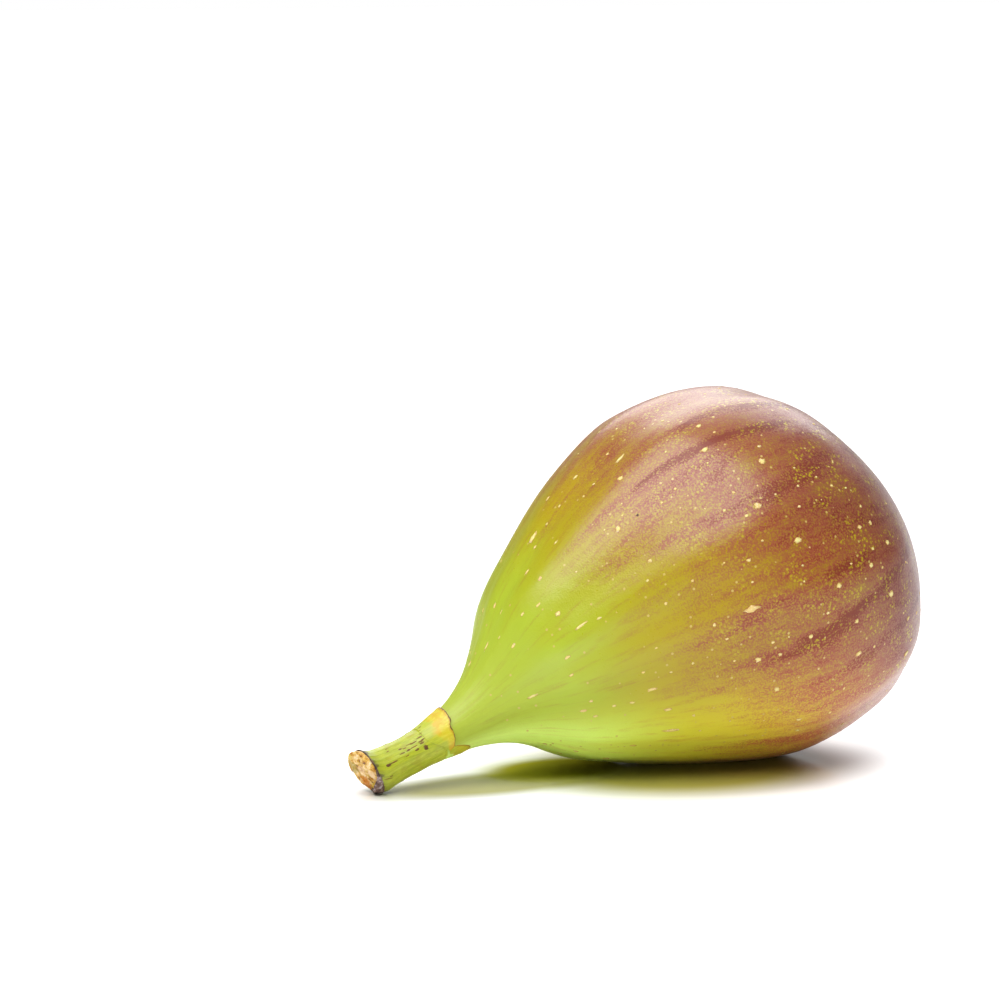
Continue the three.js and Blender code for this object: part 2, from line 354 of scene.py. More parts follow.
skin = {
    "outline": [  # radius, along, from inside the lip of the eye to the neck
        (2.7, 1.3), (2.85, 0.95), (3.05, 0.66), (3.5, 0.46), (4.1, 0.48), (5.3, 0.75), (8.8, 1.75),
        (12.6, 3.5), (17.2, 6.6), (20.2, 9.3), (22.9, 13.3), (24.6, 19.2), (25, 26.5), (24.1, 31.1),
        (21.6, 37.6), (18.5, 44.1), (15.4, 49.6), (12, 55), (8.15, 59),
    ],
    "widest": 25,
    "eyeFloor": 1.4,
    "neckEnd": 71.0,
    "spacing": 0.36,
    "sides": 300,
    "ribs": [(7, 0.09, 3.32), (11, 0.12, 4.71), (16, 0.08, 4.71)],  # count, height, phase
    "ribbed": (2, 14, 50, 68),  # the ribs rise over the first stretch and fade over the second
    "dent": 0.1,  # height of the soft unevenness
    "dentSize": 7.0,
    "crease": 0.012,  # height of the fine lengthwise creases on the neck
    "creaseCount": 34,
    "blush": 0.75,  # how much of the eye half is red-brown between the stripes
    "blushFades": (24, 52.5),
    "paleBelow": 5,  # the red-brown ends this much earlier beneath
    "eyeBlush": (0.5, 14, 30),  # more of it round the eye: share, from, to
    "sharpEdge": 0.4,  # a stripe's crisp side, as a share of its width
    "stripes": [  # angles at 10, 27 and 45 mm along, half width, where it starts and ends, strength
        (-21, -18.5, -15, 1.5, 6, 46, 0.75),
        (-33, -29.5, -25.5, 2.1, 4, 51, 0.85),
        (-45, -53, -44, 3.0, 3, 47, 0.62),
        (-41, -37, -33, 5.5, 24, 51, 0.36),
        (-60, -62, -63, 3.8, 3, 36, 0.4),
        (-71, -71, -72, 3.6, 6, 34, 0.35),
        (-80, -84, -86, 2.4, 12, 46, 0.7),
        (-89, -98, -99, 2.7, 2, 44, 0.85),
        (-110, -114, -119, 2.4, 3, 36, 0.65),
        (-136, -140, -143, 2.8, 8, 46, 0.6),
        (-152, -153, -156, 4.0, 14, 46, 0.55),
        (-3, -3, -3, 2.2, 24, 50, 0.5),
        (11, 10, 8, 3.0, 10, 46, 0.65),
        (24, 22, 20, 2.8, 4, 48, 0.7),
    ],
    "farStripes": {"seed": 7, "count": 15, "from": 36, "to": 196},  # the same kind, round the far side
    "gold": (26, 40, 42, 53),  # it comes over the first stretch and goes over the second
    "patches": [  # clear yellow-green: along, angle, half length, half width in degrees, strength
        (15.8, -61, 3.4, 3.0, 1.0), (26.7, -84, 3.2, 3.2, 1.0), (24.5, -42, 2.2, 3.0, 0.9),
        (12.6, -33, 2.4, 3.0, 0.7), (19, -92, 2.6, 3.0, 0.9), (24.7, -10, 5.0, 3.6, 0.8),
        (10, -45, 2.0, 3.6, 0.6), (38, -58, 6.5, 4.2, 0.8), (30, -112, 5.0, 4.0, 0.6),
        (17, -78, 2.6, 2.6, 0.6), (33, 14, 6.0, 5.0, 0.7), (37, -4, 5.0, 3.0, 0.6),
        (30, -72, 3.2, 2.2, 0.5), (38, -96, 5.0, 3.4, 0.6), (21, -119, 3.0, 3.4, 0.6),
    ],
    "farPatches": {"seed": 3, "count": 24, "from": 32, "to": 210},
    "colours": {
        "ground": [  # from the eye to the cut end
            (0.0, (0.19, 0.085, 0.03)), (0.18, (0.24, 0.124, 0.022)), (0.32, (0.29, 0.175, 0.006)),
            (0.46, (0.315, 0.23, 0.004)), (0.56, (0.32, 0.29, 0.006)), (0.63, (0.315, 0.34, 0.012)),
            (0.70, (0.315, 0.39, 0.02)), (0.90, (0.33, 0.405, 0.03)),
        ],
        "gold": (0.36, 0.22, 0.002),
        "red": ((0.163, 0.044, 0.041), (0.25, 0.062, 0.026)),  # near the eye, and further on
        "deepRed": ((0.114, 0.025, 0.025), (0.18, 0.033, 0.016)),
        "specks": (0.39, 0.32, 0.008),
        "pores": (0.48, 0.36, 0.1),
    },
    "beneath": {"ground": (2.1, 2.25, 9.0), "red": (1.8, 1.9, 1.9)},  # times as bright on the underside: partly the fruit's paler underside, partly painted light for the table's bounce light
}


def spreadStripes(far):
    draw = random.Random(far["seed"])
    step = (far["to"] - far["from"]) / far["count"]
    made = []
    for i in range(far["count"]):
        angle = far["from"] + step * (i + draw.uniform(-0.3, 0.3))
        bend = draw.uniform(-6, 6)
        made.append((
            angle, angle + bend * draw.uniform(0.2, 1), angle + bend, draw.uniform(1.5, 3.4),
            draw.uniform(2, 12), draw.uniform(36, 54), draw.uniform(0.45, 0.85),
        ))
    return made


def spreadPatches(far):
    draw = random.Random(far["seed"])
    return [
        (draw.uniform(9, 38), draw.uniform(far["from"], far["to"]), draw.uniform(2, 6),
         draw.uniform(2.4, 4.6), draw.uniform(0.5, 1))
        for _ in range(far["count"])
    ]


allStripes = skin["stripes"] + spreadStripes(skin["farStripes"])
allPatches = skin["patches"] + spreadPatches(skin["farPatches"])


def stripeCentre(near, middle, far, along):
    # a parabola through the angles at 10, 27 and 45 mm
    share = (along - 10) / 35
    bend = 4 * share * (1 - share)
    return mixValues(near, far, share) + (middle - mixValues(near, far, 0.5)) * bend


def skinTint(along, angle, radius):
    # amounts of red-brown, gold and speckle
    drift = wander(angle, along, 2.2, 16)
    below = skin["paleBelow"] * smoothStep(-cos(angle), 0.2, 1)
    bare = 1 - skin["blush"] * (1 - smoothStep(along + 6 * drift + below, *skin["blushFades"]))
    share, first, last = skin["eyeBlush"]
    bare *= 1 - share * (1 - smoothStep(along + 3 * drift + below, first, last))
    deep = 0
    for near, middle, far, width, first, last, strength in allStripes:
        off = degreesPast(angle, stripeCentre(near, middle, far, along) + 1.2 * drift)
        share = off / (width * (1.5 + 0.7 * wander(angle, along, 3.1, 9, 4)))
        if off > 0:
            share /= skin["sharpEdge"]
        if abs(share) < 3:
            fade = between(along, first - 4, first + 5, last - 20, last + 2)
            deep = max(deep, strength * fade * exp(-share * share))
    gold = between(along, *skin["gold"])
    gold *= 0.55 + 0.6 * wander(angle, along, 3, 12, 5)
    speckle = 0.5 + 0.8 * wander(angle, along, 5, 9, 9)
    clear = 0
    for middle, degrees, length, width, strength in allPatches:
        if abs(along - middle) < 2.2 * length:
            off = degreesPast(angle, degrees) / width
            away = hypot((along - middle) / length, off) + 0.7 * wander(angle, along, 9, 2.4, 6)
            clear = max(clear, strength * exp(-away * abs(away)))
    red = 1 - bare * (1 - deep) + 0.5 * deep
    return (red * (1 - 0.45 * clear), gold, min(speckle, 1) + 1.3 * clear)


def skinMoved(along, angle, radius):
    rise = between(along, *skin["ribbed"])
    height = sum(size * cos(count * angle + phase) for count, size, phase in skin["ribs"]) * rise
    size = radius / skin["dentSize"]
    uneven = noiseAt(cos(angle) * size, sin(angle) * size, along / skin["dentSize"])
    height += skin["dent"] * uneven * between(along, 1.5, 8, 62, 68)
    onNeck = between(along, 48, 58, 64, 69)
    wobble = 0.07 * wander(angle, along, 2, 8)
    height += skin["crease"] * onNeck * cos(skin["creaseCount"] * (angle + wobble))
    return along, radius + height


def makeSkin(material):
    points = [(0, skin["eyeFloor"]), (1.2, skin["eyeFloor"])]
    points += smoothOutline(skin["outline"], skin["spacing"])
    along = skin["outline"][-1][1] + skin["spacing"]
    while along < skin["neckEnd"]:
        points.append((footRadius(along), along))
        along += skin["spacing"]
    points += [(footRadius(along) - 0.3, along + 0.1), (1.2, along + 0.3), (0, along + 0.3)]
    bm = turnOutline(points, skin["sides"])
    layOnAxis(bm, skinMoved, skinTint)
    bm.normal_update()
    finishPiece(bm, "figSkin", material, "fruit")
    return BVHTree.FromBMesh(bm)


def skinMaterial():
    colours, beneath = skin["colours"], skin["beneath"]
    finish = Finish("figSkin", colours)
    course, place = finish.course(), finish.place()
    blush, gold, speckle = finish.tint()
    upper, _, along = finish.split(course)
    share = finish.math("DIVIDE", along, figAxis["length"])
    patch = finish.streaks(course, (2.4, 2.4, 0.05), 1.0, 3)
    share = finish.plus(share, finish.swing(patch, 0.03))
    ground = finish.ramp(share, colours["ground"])
    gold = finish.times(gold, finish.ranged(upper, -0.75, -0.1, 0, 0.7))
    ground = finish.mix(gold, ground, "gold")
    # Lighter beneath: partly the paler skin where the sun never reached, partly painted light standing in for
    # light bounced up from the table.
    below = finish.times(finish.ranged(upper, -0.1, -0.85), finish.ranged(along, 10, 34, 0.2, 1))
    ground = finish.mix(below, ground, beneath["ground"], "MULTIPLY")
    # Red-brown: stripes along the meridians, broken into fine streaks and then into fine spots.
    streak = finish.streaks(course, (9, 9, 0.09), 2.0, 4, 0.6)
    brushed = finish.streaks(course, (34, 34, 0.3), 1.0, 3, 0.6)
    grain = finish.noise(place, 4400, 1, 0.5)
    dust = finish.ranged(grain, 0.34, 0.66, -0.22, 0.22, False)
    amount = finish.plus(blush, finish.swing(streak, 0.28, False))
    amount = finish.plus(amount, finish.swing(brushed, 0.14, False))
    amount = finish.plus(amount, finish.times(dust, finish.ranged(blush, 0, 0.2)))
    further = finish.ranged(share, 0.04, 0.34)
    # The red-brown is lighter beneath too: the same mix of paler skin and painted light.
    red, deep = (
        finish.mix(below, finish.mix(further, *colours[tone]), beneath["red"], "MULTIPLY")
        for tone in ("red", "deepRed")
    )
    cover = finish.ranged(amount, 0.05, 0.9, smooth=False)
    cover = finish.times(cover, finish.ranged(grain, 0.36, 0.45, 0.3, 1))
    colour = finish.mix(cover, ground, red)
    colour = finish.stain(colour, deep, amount, 0.9, 1.45)
    # Small yellow-green patches that stay in the red-brown, each a crowd of specks.
    where = finish.ranged(finish.noise(place, 330, 2), 0.44, 0.62)
    where = finish.times(where, finish.ranged(speckle, 0.1, 0.6, 0.25, 1))
    where = finish.math("MAXIMUM", where, finish.ranged(speckle, 0.95, 1.7))
    where = finish.times(where, finish.ranged(cover, 0.15, 0.5))
    for size, strength in ((1500, 0.85), (2300, 0.8)):
        dot = finish.ranged(finish.cells(place, size), 0.36, 0.18, 0, strength)
        colour = finish.mix(finish.times(dot, where), colour, "specks")
    # Pinpoint pores with pale corky middles.
    colour = finish.stain(colour, "pores", finish.cells(place, 640), 0.12, 0.085, 0.85)
    # Less waxy in the deepest red, beneath and round the eye.
    waxy = finish.ranged(amount, 0.85, 1.35, 0.55, 0.32)
    waxy = finish.times(waxy, finish.ranged(upper, 0.5, -0.1, 1, 0.6))
    waxy = finish.times(waxy, finish.ranged(along, 8, 22, 0.72, 1))
    smooth = finish.ranged(grain, 0.2, 0.8, 0.27, 0.37)
    finish.set(
        Base_Color=colour, Specular_IOR_Level=waxy,
        Roughness=finish.plus(smooth, finish.ranged(along, 52, 63, 0, 0.2)),
        Subsurface_Weight=0.06, Subsurface_Scale=0.002, Subsurface_Radius=(1.0, 0.5, 0.2),
        Sheen_Weight=0.03, Sheen_Roughness=0.4, Sheen_Tint=(1.0, 0.9, 0.9, 1),
    )
    pores = finish.bump(grain, 0.16, 0.12)
    finish.set(Normal=finish.bump(finish.noise(place, 700, 2), 0.12, 0.3, pores))
    return finish.material


skinTree = makeSkin(skinMaterial())


def onSkin(along, degrees):
    # the place on the skin and the way out of it
    angle = radians(degrees)
    start = onAxis(along, 0, 0)
    out = onAxis(along, angle, 1) - start
    point, normal, _, _ = skinTree.ray_cast(start, out.normalized())
    return point, (normal if normal.dot(out) > 0 else -normal)


lenticels = {
    "seed": 11,
    "count": 330,
    "from": 5.5,  # along
    "to": 62,
    "size": (0.2, 0.46),
    "gap": 1.7,  # least distance between two
    "height": 0.22,  # of the shorter side
    "lowest": 1.2,  # none is nearer to the table
    "orangeShare": 0.12,
    "marked": [  # along, angle, length, width, and 1 for an orange or 2 for a dark one
        (48, 0.7, 2.1, 0.7), (35.1, -12, 1.5, 0.5), (37.3, -20, 0.8, 0.7), (25.6, -23, 0.7, 0.6),
        (27.7, -32, 1.1, 0.8), (22.8, -44, 1.1, 0.9), (42, -35, 0.9, 0.8), (39.3, -36, 0.4, 0.4, 2),
        (27.3, -56, 1.0, 0.9, 1), (51.8, -58, 1.9, 0.35), (52.9, -45, 0.8, 0.6), (58.2, -36, 0.8, 0.4),
        (59.7, -8, 1.3, 0.35), (56.1, 1, 0.9, 0.35, 1), (39.4, 1, 0.8, 0.5), (43, 8, 0.7, 0.5),
        (51.7, -11, 0.9, 0.4), (51.7, -23, 0.7, 0.5, 1), (55.5, -28, 0.7, 0.4), (25.1, -70, 1.2, 0.7),
        (34.2, -83, 2.2, 0.8, 1), (22.7, -87, 0.8, 0.7), (35.4, -100, 0.9, 0.7), (28.5, -98, 0.8, 0.6),
        (21.6, -100, 0.7, 0.6), (22.3, -111, 1.1, 0.8), (33.9, -113, 0.7, 0.8), (46.5, -113, 1.0, 0.5),
        (47.8, -101, 1.5, 0.5), (46.4, -125, 2.5, 0.5), (31.4, -128, 0.8, 0.6), (27.1, -129, 0.7, 0.5),
        (31, -135, 0.7, 0.6), (50.3, -137, 0.9, 0.5), (59.5, -82, 1.6, 0.3), (12.6, -82, 0.9, 0.7),
        (15, -98, 0.9, 0.9), (16.9, -86, 0.7, 0.7), (13.8, -74, 0.6, 0.6), (15.8, -74, 0.7, 0.6),
        (13.6, -124, 1.1, 0.7), (12.5, -111, 0.6, 0.6),
    ],
    "colours": {
        "yellowish": (0.68, 0.52, 0.17),
        "greenish": (0.66, 0.57, 0.2),
        "edge": (0.42, 0.2, 0.03),
        "orange": (0.6, 0.38, 0.13),
        "crumbs": (0.78, 0.64, 0.42),
        "dark": (0.06, 0.02, 0.01),
    },
}


def addSpeck(bm, layer, spot, normal, lengthwise, size, tone, seed):
    # a low irregular dome, half sunk in the surface
    side = normal.cross(lengthwise).normalized()
    lengthwise = side.cross(normal).normalized()
    turn = Matrix((lengthwise, side, normal)).transposed()
    made = bmesh.ops.create_uvsphere(bm, u_segments=10, v_segments=5, radius=1)
    for vert in made["verts"]:
        flat = hypot(vert.co.x, vert.co.y)
        around = atan2(vert.co.y, vert.co.x)
        vert[layer] = (tone, flat, seed % 1)
        uneven = 1 + 0.45 * wander(around, 0, 1.6, 1, seed) + 0.35 * wander(around, 0, 3.4, 1, seed + 9)
        x, y, z = vert.co
        local = Vector((x * uneven * size[0] / 2, y * uneven * size[1] / 2, z * size[2]))
        vert.co = spot + turn @ local * mm


def addSpecks(specks):
    # many specks at once, a few to a batch, since a small mesh grows faster than a large one
    whole = bmesh.new()
    for start in range(0, len(specks), 16):
        batch = bmesh.new()
        layer = batch.verts.layers.float_vector.new("tint")
        for speck in specks[start:start + 16]:
            addSpeck(batch, layer, *speck)
        mesh = bpy.data.meshes.new("batch")
        batch.to_mesh(mesh)
        whole.from_mesh(mesh)
        bpy.data.meshes.remove(mesh)
    return whole


def makeLenticels(material):
    draw = random.Random(lenticels["seed"])
    specks = []

    def add(along, degrees, length, width, tone=0):
        spot, normal = onSkin(along, degrees)
        ahead, _ = onSkin(along + 0.4, degrees)
        height = lenticels["height"] * min(width, 0.7) * 0.5
        specks.append((spot, normal, ahead - spot, (length, width, height), tone / 2, draw.uniform(0, 50)))

    for mark in lenticels["marked"]:
        add(*mark)
    tries = 0
    while len(specks) < len(lenticels["marked"]) + lenticels["count"] and tries < 4000:
        tries += 1
        along, degrees = draw.uniform(lenticels["from"], lenticels["to"]), draw.uniform(-180, 180)
        spot, _ = onSkin(along, degrees)
        girth = hypot(spot.y, spot.z - onAxis(along, 0, 0).z) / (skin["widest"] * mm)
        nearest = min((spot - speck[0]).length for speck in specks) / mm
        if draw.random() > girth or spot.z < lenticels["lowest"] * mm or nearest < lenticels["gap"]:
            continue
        width = draw.uniform(*lenticels["size"])
        stretch = mixValues(1.1, 2.2, smoothStep(along, 38, 60)) * draw.uniform(0.85, 1.3)
        add(along, degrees, width * stretch, width, 1 if draw.random() < lenticels["orangeShare"] else 0)
    finishPiece(addSpecks(specks), "figLenticels", material, "fruit")


def lenticelMaterial():
    finish = Finish("figLenticels", lenticels["colours"])
    tone, flat, seed = finish.tint()
    crumbs = finish.noise(finish.place(), 4200, 2, 0.6)
    colour = finish.stain("yellowish", "greenish", seed, 0, 1)
    edge = finish.plus(flat, finish.swing(crumbs, 0.3, False))
    colour = finish.stain(colour, "edge", edge, 0.45, 0.85, 0.75)
    colour = finish.stain(colour, "orange", tone, 0.1, 0.5, 0.6)
    colour = finish.stain(colour, "crumbs", crumbs, 0.56, 0.66, 0.7)
    colour = finish.stain(colour, "dark", tone, 0.6, 1.0)
    finish.set(Base_Color=colour, Roughness=0.55, Subsurface_Weight=0.1, Subsurface_Scale=0.001)
    finish.set(Normal=finish.bump(crumbs, 0.5, 0.08))
    return finish.material


makeLenticels(lenticelMaterial())

eyeScales = {
    "whorls": [  # count, width, height of the middle over the sides, (radius, along) from root to tip
        (8, 2.5, 0.16, [(3.1, 1.1), (2.75, 0.62), (2.2, 0.36), (1.6, 0.2), (0.95, 0.1)]),
        (6, 2.0, 0.14, [(2.5, 1.15), (2.0, 0.62), (1.4, 0.36), (0.9, 0.18), (0.4, 0.04)]),
        (4, 1.4, 0.1, [(1.7, 1.1), (1.2, 0.6), (0.75, 0.32), (0.4, 0.12), (0.06, -0.08)]),
    ],
    "turn": 2.4,  # from one whorl to the next, in radians
    "overlap": 0.09,  # one side of a scale lies this much over its neighbour
    "thickness": 0.11,
    "rows": 16,
    "columns": 12,
    "colours": {
        "dark": (0.24, 0.085, 0.04),
        "bright": (0.32, 0.13, 0.05),
        "root": (0.3, 0.2, 0.07),
        "lines": (0.13, 0.04, 0.025),
        "edge": (0.52, 0.33, 0.15),
    },
}


def makeEyeScales(material):
    bm = bmesh.new()
    course, tint = addLayers(bm)
    for ring, (count, width, crown, path) in enumerate(eyeScales["whorls"]):
        radii, depths = ([(i / (len(path) - 1), p[way]) for i, p in enumerate(path)] for way in (0, 1))
        for i in range(count):
            middle = pi / 2 + 2 * pi * i / count + ring * eyeScales["turn"]
            middle += 0.04 * sin(9.1 * i + ring)
            grown = 1 + 0.06 * sin(5.3 * i + 2 * ring)
            made = bmesh.ops.create_grid(
                bm, x_segments=eyeScales["columns"], y_segments=eyeScales["rows"], size=1,
            )
            for vert in made["verts"]:
                across, share = vert.co.x, (vert.co.y + 1) / 2
                half = width / 2 * grown
                half *= 1 + 0.1 * noiseAt(3 * share, 2 * copysign(1, across), i + 7 * ring)
                half *= (1 - share**2.6) ** 0.55 * (0.86 + 0.14 * sin(3 * share))
                radius = plainTable(radii, min(1, share * (0.94 + 0.06 * grown)))
                depth = plainTable(depths, share)
                side = across * max(half, 0.03)
                angle = middle + atan2(side, max(radius, 0.25))
                depth += crown * across**2 + eyeScales["overlap"] * across
                vert[course] = (side, share, i + 10 * ring)
                vert[tint] = (max(abs(across), share), share, 0.5 + 0.5 * sin(3.7 * i + 1.9 * ring))
                out = hypot(side, radius) if radius > 0.25 else radius + abs(side) * 0.5
                vert.co = onAxis(depth, angle, out)
    finishPiece(
        bm, "eyeScales", material, "eye_scales", thickness=eyeScales["thickness"], subdivided=1,
    )


def eyeMaterial():
    finish = Finish("eyeScales", eyeScales["colours"])
    edge, share, tone = finish.tint()
    colour = finish.mix(tone, "dark", "bright")
    colour = finish.stain("root", colour, share, 0.1, 0.75)
    lines = finish.streaks(finish.course(), (14, 1.2, 1), 1.0, 3, 0.6)
    colour = finish.stain(colour, "lines", lines, 0.45, 0.65, 0.5)
    rough = finish.noise(finish.place(), 2400, 2)
    colour = finish.stain(colour, "edge", finish.plus(edge, finish.swing(rough, 0.06)), 0.8, 0.97)
    finish.set(Base_Color=colour, Roughness=finish.ranged(rough, 0.3, 0.7, 0.45, 0.65))
    finish.set(Subsurface_Weight=0.08, Subsurface_Scale=0.0008, Sheen_Weight=0.1)
    finish.set(Normal=finish.bump(lines, 0.5, 0.06))
    return finish.material


makeEyeScales(eyeMaterial())

stalk = {
    "from": 70.4,
    "to": 80.85,
    "spacing": 0.14,
    "sides": 168,
    "ridges": (5, 0.06, 0.8),  # count, height, phase
    "grooves": (23, 0.012),
    "lump": 0.05,
    "colours": {
        "greens": ((0.29, 0.34, 0.012), (0.40, 0.43, 0.02)),
        "patches": (0.30, 0.26, 0.012),
        "end": (0.13, 0.15, 0.01),
        "scratches": (0.10, 0.075, 0.012),
        "dry": (0.075, 0.05, 0.015),
    },
    "beneath": (1.3, 1.3, 2.4),  # times as bright on the underside: painted light, standing in for light bounced up from the table
}


def stalkMoved(along, angle, radius):
    grown = smoothStep(along, 73, 75)
    count, height, phase = stalk["ridges"]
    rise = height * cos(count * angle + phase) * grown
    count, height = stalk["grooves"]
    wavy = angle + 0.05 * wander(angle, along, 1.5, 4)
    rise += height * cos(count * wavy) * smoothStep(along, 72, 74)
    rise += stalk["lump"] * wander(angle, along, 1.6, 2.6, 3) * smoothStep(along, 71.6, 73)
    return along, radius + rise * min(1, radius / 2)


def makeStalk(material):
    points = [(0, stalk["from"] - 0.1), (1.2, stalk["from"] - 0.1), (2.2, stalk["from"])]
    along = stalk["from"] + 0.15
    while along < stalk["to"]:
        tuck = 0.2 * (1 - smoothStep(along, 70.6, 71.4))
        points.append((footRadius(along) - tuck, along))
        along += stalk["spacing"]
    points += [(2.3, stalk["to"] + 0.05), (1.2, stalk["to"] + 0.05), (0, stalk["to"] + 0.05)]
    bm = turnOutline(points, stalk["sides"])
    layOnAxis(bm, stalkMoved)
    finishPiece(bm, "stalkSkin", material, "stalk")


def stalkGreen(finish, course):
    # the green of the stalk, and its lengthwise fibres, lightened underneath as painted light
    colours = stalk["colours"]
    upper, _, along = finish.split(course)
    lines = finish.streaks(course, (9, 9, 0.35), 1.6, 4, 0.6)
    colour = finish.stain(*colours["greens"], lines, 0.35, 0.65)
    patches = finish.streaks(course, (1.6, 1.6, 0.5), 1.4, 2)
    colour = finish.stain(colour, colours["patches"], patches, 0.5, 0.7, 0.5)
    colour = finish.stain(colour, colours["end"], along, 79.2, 80.5, 0.3)
    # Painted light: lighter on the underside, for light bounced up from the table.
    colour = finish.mix(finish.ranged(upper, 0.3, -0.8), colour, stalk["beneath"], "MULTIPLY")
    return colour, lines, along


def stalkMaterial():
    finish = Finish("stalkSkin", stalk["colours"])
    course, place = finish.course(), finish.place()
    colour, lines, along = stalkGreen(finish, course)
    scratch = finish.streaks(course, (26, 26, 1.1), 1.5, 2)
    colour = finish.stain(colour, "scratches", scratch, 0.64, 0.74, 0.55)
    dry = finish.plus(along, finish.swing(finish.noise(place, 900, 3, 0.6), 0.35))
    colour = finish.stain(colour, "dry", dry, 80.3, 80.7, 0.8)
    grain = finish.noise(place, 2600, 2)
    finish.set(
        Base_Color=colour, Roughness=finish.ranged(grain, 0.3, 0.7, 0.34, 0.46), Sheen_Weight=0.03,
        Subsurface_Weight=0.06, Subsurface_Scale=0.0012, Subsurface_Radius=(0.7, 1.0, 0.2),
    )
    finish.set(Normal=finish.bump(lines, 0.35, 0.12, finish.bump(grain, 0.25, 0.1)))
    return finish.material


makeStalk(stalkMaterial())

stalkFlecks = {
    "marked": [  # along, angle, length, width
        (72.7, -30, 0.9, 0.14), (73.3, -38, 1.1, 0.18), (73.2, -49, 0.6, 0.2), (75.0, -41, 0.9, 0.14),
        (74.3, -44, 1.3, 0.18), (73.5, -51, 0.9, 0.22), (74.6, -56, 1.3, 0.17), (73.5, -57, 0.8, 0.24),
        (75.6, -57, 0.6, 0.3), (76.5, -42, 0.45, 0.28), (74.6, -68, 0.6, 0.32), (73.4, -74, 0.75, 0.62),
        (76.6, -57, 0.8, 0.18), (79.2, -70, 1.2, 0.5), (78.3, -69, 1.3, 0.2), (79.8, -103, 1.1, 0.13),
        (79.3, -100, 0.8, 0.12), (76.1, -70, 0.5, 0.14), (78.1, -32, 0.5, 0.17), (75.9, -46, 0.5, 0.16),
        (78.0, -22, 0.4, 0.16), (71.9, -6, 1.2, 0.16), (72.4, -18, 0.9, 0.13),
    ],
    "seed": 5,
    "count": 34,
    "height": 0.03,
    "colours": {"wide": (0.10, 0.042, 0.005), "narrow": (0.22, 0.12, 0.006), "edge": (0.2, 0.16, 0.012)},
}


def makeFlecks(material):
    draw = random.Random(stalkFlecks["seed"])
    marks = list(stalkFlecks["marked"])
    for _ in range(stalkFlecks["count"]):
        marks.append((
            draw.uniform(72.8, 79.4), draw.uniform(5, 205), draw.uniform(0.25, 1.3), draw.uniform(0.1, 0.32),
        ))
    specks = []
    for along, degrees, length, width in marks:
        angle = radians(degrees)
        spot, ahead = (
            onAxis(place, angle, stalkMoved(place, angle, footRadius(place))[1])
            for place in (along, along + 0.4)
        )
        normal = (spot - onAxis(along, 0, 0)).normalized()
        size = (length * 1.15, width, stalkFlecks["height"])
        tone = smoothStep(width, 0.4, 0.15) * draw.uniform(0.5, 1)
        specks.append((spot, normal, ahead - spot, size, tone, draw.uniform(0, 50)))
    finishPiece(addSpecks(specks), "stalkFlecks", material, "stalk")


def fleckMaterial():
    finish = Finish("stalkFlecks", stalkFlecks["colours"])
    tone, flat, _ = finish.tint()
    colour = finish.stain(finish.mix(tone, "wide", "narrow"), "edge", flat, 0.5, 1.0, 0.8)
    rough = finish.noise(finish.place(), 5200, 2)
    finish.set(Base_Color=colour, Roughness=0.55, Normal=finish.bump(rough, 0.4, 0.05))
    return finish.material


makeFlecks(fleckMaterial())

bracts = {
    "thickness": 0.13,
    "rows": 30,
    "stepDegrees": 1.2,
    "torn": 0.09,
    "sunk": 0.1,
    "shapes": {  # the free edge towards the fruit and the base towards the stalk, as angle and along
        "frontBract": {
            "edge": [
                (-113, 70.5), (-108, 70.15), (-103, 69.9), (-96, 69.7), (-86, 69.45), (-71, 69.35),
                (-60, 69.3), (-54, 69.2), (-50, 68.95), (-45, 68.7), (-33, 68.6), (-16, 68.4), (2, 68.3),
                (14, 68.2), (22, 68.45), (30, 68.3), (60, 68.6), (90, 69.1), (112, 69.75), (126, 70.3),
            ],
            "base": [
                (-113, 70.65), (-105, 71.0), (-94, 71.35), (-77, 72.2), (-60, 72.9), (-26, 73), (20, 72.9),
                (80, 72.7), (110, 71.8), (126, 70.9),
            ],
            "proud": 0.12,
            "green": 0.0,
            "merged": (-78, 92),  # the base can't be told from the stalk between these angles
        },
        "lowerBract": {
            "edge": [
                (-178, 70.3), (-166, 69.4), (-152, 68.4), (-143, 68.0), (-133, 67.8), (-127, 68.0),
                (-120, 68.5), (-113, 69.2), (-108, 69.9), (-104, 70.6),
            ],
            "base": [(-178, 70.8), (-150, 71.3), (-125, 71.2), (-104, 70.9)],
            "proud": 0.1,
            "green": 0.7,
            "merged": (-170, -136),
        },
        "farBract": {
            "edge": [
                (94, 70.4), (108, 69.4), (124, 68.6), (143, 68.2), (160, 68.6), (172, 69.3), (186, 70.3),
            ],
            "base": [(94, 71.0), (143, 71.5), (186, 70.9)],
            "proud": 0.1,
            "green": 0.5,
            "merged": (110, 178),
        },
    },
    "colours": {
        "yellow": (0.50, 0.41, 0.006),
        "paleYellow": (0.58, 0.49, 0.03),
        "golden": (0.52, 0.32, 0.003),
        "greenEdge": (0.5, 0.48, 0.03),
        "dryEdge": (0.42, 0.2, 0.006),
        "tornEdge": (0.12, 0.035, 0.008),
    },
}


